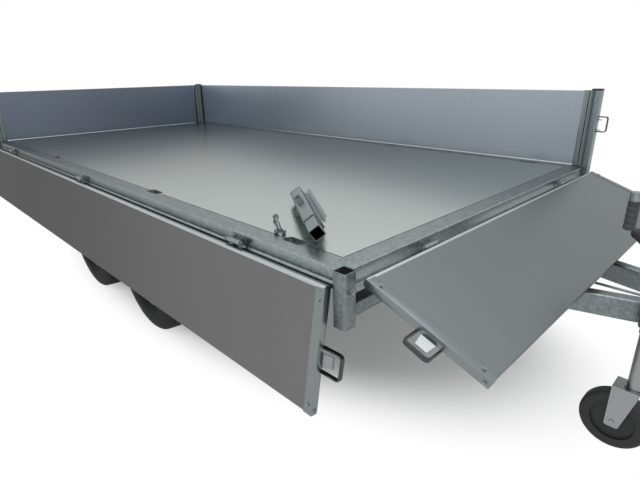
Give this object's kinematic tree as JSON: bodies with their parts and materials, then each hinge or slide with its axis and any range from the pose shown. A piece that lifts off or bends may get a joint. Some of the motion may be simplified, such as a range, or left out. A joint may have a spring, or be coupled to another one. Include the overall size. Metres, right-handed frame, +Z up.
{
  "type": "utility trailer",
  "caption": "Flatbed utility trailer with galvanised drop sides, two of them folded down, braked tandem axles and a V drawbar on its jockey wheel.",
  "frame": {"origin": "centre of the towing ball in the coupling head", "axes": "+X forwards along the drawbar, +Y to the left side, +Z up; the wheels stand at z = -0.46 m"},
  "size_m": [5.475, 2.1572, 1.1815],
  "materials": {
    "galvanised_strip": "continuously galvanised strip",
    "floor_sheet": "bright galvanised sheet",
    "panel_sheet": "zinc and aluminium coated sheet",
    "galvanised_dip": "hot-dip galvanised, spangled",
    "zinc_plated": "bright zinc plate",
    "black_rubber": "moulded rubber",
    "tyre_rubber": "moulded rubber",
    "black_plastic": "grained moulding",
    "wheel_steel": "silver paint",
    "lamp_red": "clear moulded lens"
  },
  "bodies": {
    "chassis": {"deck_rim": "galvanised_strip", "deck_floor": "floor_sheet", "deck_bearers": "galvanised_strip", "lashing_pans": "zinc_plated", "long_beams": "galvanised_dip", "cross_tubes": "galvanised_dip", "drawbar_legs": "galvanised_dip", "socket_front_right": "galvanised_dip", "corner_sockets": "galvanised_dip", "corner_posts": "galvanised_strip", "loose_post": "galvanised_strip", "post_caps": "black_plastic", "latch_keepers": "zinc_plated", "hinge_brackets": "zinc_plated", "panel_rests": "black_rubber", "axle_front": "galvanised_dip", "axle_rear": "galvanised_dip", "mudguards": "black_plastic", "overrun_housing": "galvanised_dip", "shaft_gaiter": "black_rubber", "coupling_head": "zinc_plated", "coupling_handle": "zinc_plated", "handbrake_lever": "black_plastic", "jockey_mast": "galvanised_dip", "jockey_crank": "zinc_plated", "rear_lamps": "lamp_red"},
    "panel_right": {"panel_right": "panel_sheet", "fittings_right": "zinc_plated"},
    "panel_front": {"panel_front": "panel_sheet", "fittings_front": "zinc_plated"},
    "panel_left": {"panel_left": "panel_sheet", "fittings_left": "zinc_plated"},
    "panel_rear": {"panel_rear": "panel_sheet", "fittings_rear": "zinc_plated"},
    "wheel_fl": {"tyre_fl": "tyre_rubber", "wheel_fl": "wheel_steel"},
    "wheel_fr": {"tyre_fr": "tyre_rubber", "wheel_fr": "wheel_steel"},
    "wheel_rl": {"tyre_rl": "tyre_rubber", "wheel_rl": "wheel_steel"},
    "wheel_rr": {"tyre_rr": "tyre_rubber", "wheel_rr": "wheel_steel"},
    "jockey_leg": {"jockey_inner": "zinc_plated"},
    "jockey_fork": {"jockey_fork": "zinc_plated"},
    "jockey_wheel": {"jockey_wheel": "black_rubber"}
  },
  "joints": [
    {"name": "right_panel_hinge", "type": "hinge", "parent": "chassis", "child": "panel_right", "pos_m": [-3.37, -1.023, 0.282], "axis": [-1, 0, 0], "range_deg": [0, 170.5]},
    {"name": "front_panel_hinge", "type": "hinge", "parent": "chassis", "child": "panel_front", "pos_m": [-1.327, 0, 0.282], "axis": [0, -1, 0], "range_deg": [0, 110.3]},
    {"name": "left_panel_hinge", "type": "hinge", "parent": "chassis", "child": "panel_left", "pos_m": [-3.37, 1.023, 0.282], "axis": [-1, 0, 0], "range_deg": [0, 170.5]},
    {"name": "rear_panel_hinge", "type": "hinge", "parent": "chassis", "child": "panel_rear", "pos_m": [-5.413, 0, 0.282], "axis": [0, -1, 0], "range_deg": [0, 170.5]},
    {"name": "wheel_fl_spin", "type": "hinge", "parent": "chassis", "child": "wheel_fl", "pos_m": [-2.775, 0.8925, -0.135], "axis": [0, 1, 0], "continuous": true},
    {"name": "wheel_fr_spin", "type": "hinge", "parent": "chassis", "child": "wheel_fr", "pos_m": [-2.775, -0.8925, -0.135], "axis": [0, 1, 0], "continuous": true},
    {"name": "wheel_rl_spin", "type": "hinge", "parent": "chassis", "child": "wheel_rl", "pos_m": [-3.555, 0.8925, -0.135], "axis": [0, 1, 0], "continuous": true},
    {"name": "wheel_rr_spin", "type": "hinge", "parent": "chassis", "child": "wheel_rr", "pos_m": [-3.555, -0.8925, -0.135], "axis": [0, 1, 0], "continuous": true},
    {"name": "jockey_slide", "type": "slide", "parent": "chassis", "child": "jockey_leg", "axis": [0, 0, 1], "range_m": [0, 0.19]},
    {"name": "jockey_swivel", "type": "hinge", "parent": "jockey_leg", "child": "jockey_fork", "pos_m": [-0.74, -0.18994, -0.2], "axis": [0, 0, 1], "continuous": true},
    {"name": "jockey_wheel_spin", "type": "hinge", "parent": "jockey_fork", "child": "jockey_wheel", "pos_m": [-0.78, -0.18994, -0.35], "axis": [0, 1, 0], "continuous": true}
  ]
}
